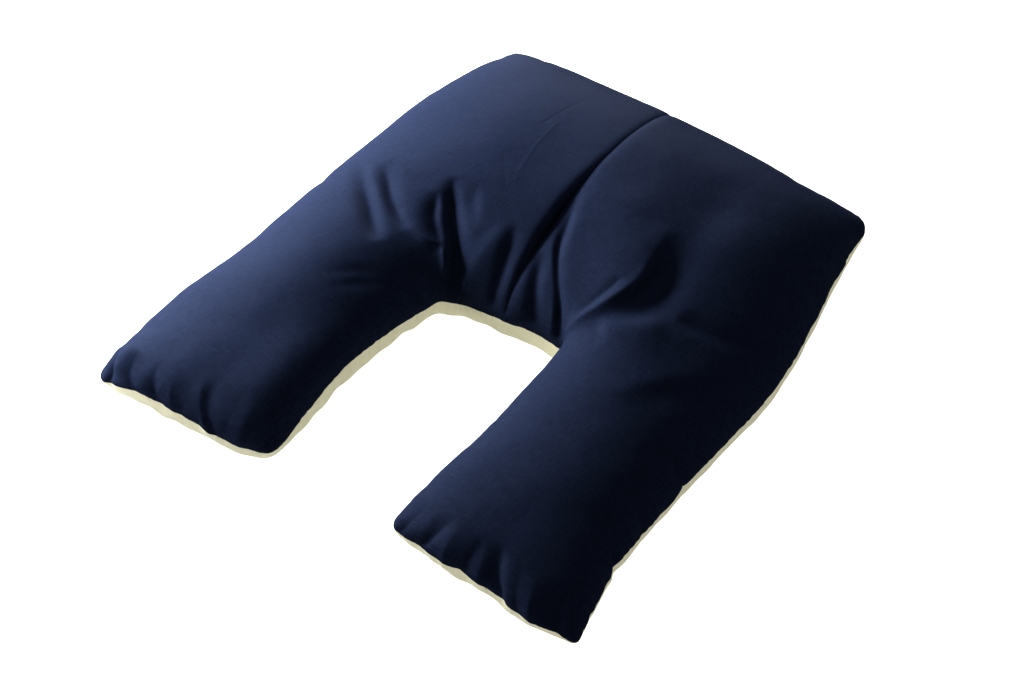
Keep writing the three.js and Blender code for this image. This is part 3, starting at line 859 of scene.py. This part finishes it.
def cloth_material(name, dark, light, roughness, pitch, specular, specular_tint=(1, 1, 1), sheen=0,
                   sheen_roughness=0.5, sheen_tint=(1, 1, 1), glow=0):
    """Woven cloth whose colour runs from dark to light with its slubs."""
    material = bpy.data.materials.new(name)
    material.use_nodes = True
    nodes, links = material.node_tree.nodes, material.node_tree.links
    shader = nodes["Principled BSDF"]
    place = nodes.new("ShaderNodeAttribute")
    place.attribute_name = "cloth_place"
    weave = nodes.new("ShaderNodeGroup")
    weave.node_tree = WEAVE
    weave.inputs["Thread pitch"].default_value = pitch
    weave.inputs["Slub length"].default_value = SLUB_LENGTH
    links.new(place.outputs["Vector"], weave.inputs["Place"])
    crumple = nodes.new("ShaderNodeGroup")
    crumple.node_tree = CRUMPLE
    crumple.inputs["Size"].default_value = CRUMPLE_SIZE
    links.new(place.outputs["Vector"], crumple.inputs["Place"])

    colour = nodes.new("ShaderNodeMix")
    colour.data_type = "RGBA"
    colour.inputs["A"].default_value = (*dark, 1)
    colour.inputs["B"].default_value = (*light, 1)
    links.new(weave.outputs["Shade"], colour.inputs["Factor"])
    links.new(colour.outputs["Result"], shader.inputs["Base Color"])
    # Painted light: a glow of the cloth's own colour stands in for light bounced onto it from the floor
    if glow:
        links.new(colour.outputs["Result"], shader.inputs["Emission Color"])
        shader.inputs["Emission Strength"].default_value = glow
    rough = nodes.new("ShaderNodeMapRange")
    rough.inputs["To Min"].default_value = roughness - ROUGHNESS_SWING
    rough.inputs["To Max"].default_value = roughness + ROUGHNESS_SWING
    links.new(weave.outputs["Shade"], rough.inputs["Value"])
    links.new(rough.outputs["Result"], shader.inputs["Roughness"])

    crumpled = nodes.new("ShaderNodeBump")
    crumpled.inputs["Strength"].default_value = CRUMPLE_STRENGTH
    crumpled.inputs["Distance"].default_value = CRUMPLE_DEPTH
    links.new(crumple.outputs["Height"], crumpled.inputs["Height"])
    woven = nodes.new("ShaderNodeBump")
    woven.inputs["Strength"].default_value = WEAVE_STRENGTH
    woven.inputs["Distance"].default_value = WEAVE_DEPTH
    links.new(weave.outputs["Height"], woven.inputs["Height"])
    links.new(crumpled.outputs["Normal"], woven.inputs["Normal"])
    links.new(woven.outputs["Normal"], shader.inputs["Normal"])

    shader.inputs["Specular IOR Level"].default_value = specular
    shader.inputs["Specular Tint"].default_value = (*specular_tint, 1)
    shader.inputs["Sheen Weight"].default_value = sheen
    shader.inputs["Sheen Roughness"].default_value = sheen_roughness
    shader.inputs["Sheen Tint"].default_value = (*sheen_tint, 1)
    return material


def grey(level):
    return (level, level, level, 1)


def studio_glow(nodes, links, levels):
    """A grey light with one level to all else and another to the camera."""
    path = nodes.new("ShaderNodeLightPath")
    glow = nodes.new("ShaderNodeMix")
    glow.data_type = "RGBA"
    glow.inputs["A"].default_value, glow.inputs["B"].default_value = map(grey, levels)
    links.new(path.outputs["Is Camera Ray"], glow.inputs["Factor"])
    return glow.outputs["Result"]


def floor_material():
    material = bpy.data.materials.new("pale_floor")
    material.use_nodes = True
    nodes, links = material.node_tree.nodes, material.node_tree.links
    shader = nodes["Principled BSDF"]
    shader.inputs["Base Color"].default_value = grey(FLOOR_GREY)
    shader.inputs["Roughness"].default_value = FLOOR_ROUGHNESS
    shader.inputs["Specular IOR Level"].default_value = FLOOR_SPECULAR
    links.new(studio_glow(nodes, links, FLOOR_GLOW), shader.inputs["Emission Color"])
    shader.inputs["Emission Strength"].default_value = 1
    return material


def add_floor():
    mesh = bpy.data.meshes.new("floor")
    half = FLOOR_HALF_WIDTH
    corners = [(-half, -half, 0), (half, -half, 0), (half, half, 0), (-half, half, 0)]
    mesh.from_pydata(corners, [], [(0, 1, 2, 3)])
    floor = bpy.data.objects.new("floor", mesh)
    bpy.context.scene.collection.objects.link(floor)
    floor.location.z = -FLOOR_DROP
    floor.data.materials.append(floor_material())
    floor.visible_glossy = False


def camera_axes():
    """The camera's right, up and back directions."""
    azimuth, elevation, roll = map(radians, (CAMERA_AZIMUTH, CAMERA_ELEVATION, CAMERA_ROLL))
    back = Vector((sin(azimuth) * cos(elevation), -cos(azimuth) * cos(elevation), sin(elevation)))
    level = Vector((cos(azimuth), sin(azimuth), 0))
    up = back.cross(level)
    return level * cos(roll) + up * sin(roll), up * cos(roll) - level * sin(roll), back


def add_camera():
    right, up, back = camera_axes()
    data = bpy.data.cameras.new("camera")
    data.sensor_width = SENSOR_WIDTH
    data.lens = CAMERA_LENS
    data.clip_start, data.clip_end = CLIP_START, CLIP_END
    camera = bpy.data.objects.new("camera", data)
    camera.matrix_world = Matrix((right, up, back)).transposed().to_4x4()
    camera.location = (Vector(CAMERA_PLACE) - Vector((*PLAN_MIDDLE, 0))) * MM
    bpy.context.scene.collection.objects.link(camera)
    bpy.context.scene.camera = camera


def add_light(name, direction, distance, size, power):
    data = bpy.data.lights.new(name, "AREA")
    data.shape = "RECTANGLE"
    data.size, data.size_y = size
    data.energy = power
    light = bpy.data.objects.new(name, data)
    away = Vector(direction).normalized()
    light.location = away * distance
    light.rotation_mode = "QUATERNION"
    light.rotation_quaternion = away.to_track_quat("Z", "Y")
    light.visible_camera = False
    bpy.context.scene.collection.objects.link(light)


def add_studio():
    scene = bpy.context.scene
    world = bpy.data.worlds.new("studio")
    world.use_nodes = True
    nodes, links = world.node_tree.nodes, world.node_tree.links
    links.new(studio_glow(nodes, links, BACKDROP_GLOW), nodes["Background"].inputs["Color"])
    scene.world = world
    scene.view_settings.view_transform = "Standard"
    scene.view_settings.look = "Medium High Contrast"
    for light in LIGHTS:
        add_light(**light)


grid, sheet, face, underside = shape_cover()
navy = cloth_material("navy_satin", **NAVY)
cream = cloth_material("cream_cotton", **CREAM)

# Panels of the cover: which half of the pillow, below 0 the left one, and which way out, below 0 down
PANELS = [
    dict(name="cover_face_left", node="face_left", slot="navy_face", material=navy,
         surface=face, sideways=-1, outward=1),
    dict(name="cover_face_right", node="face_right", slot="navy_face", material=navy,
         surface=face, sideways=1, outward=1),
    dict(name="cover_underside_left", node="underside_left", slot="cream_underside", material=cream,
         surface=underside, sideways=-1, outward=-1),
    dict(name="cover_underside_right", node="underside_right", slot="cream_underside", material=cream,
         surface=underside, sideways=1, outward=-1),
]
for panel in PANELS:
    mesh = panel_mesh(panel["name"], grid, sheet, panel["surface"], panel["sideways"], panel["outward"])
    mesh.materials.append(panel["material"])
    piece = bpy.data.objects.new(panel["name"], mesh)
    bpy.context.scene.collection.objects.link(piece)
    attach(piece, "root")
    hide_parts(panel["node"])

add_floor()
add_camera()
add_studio()
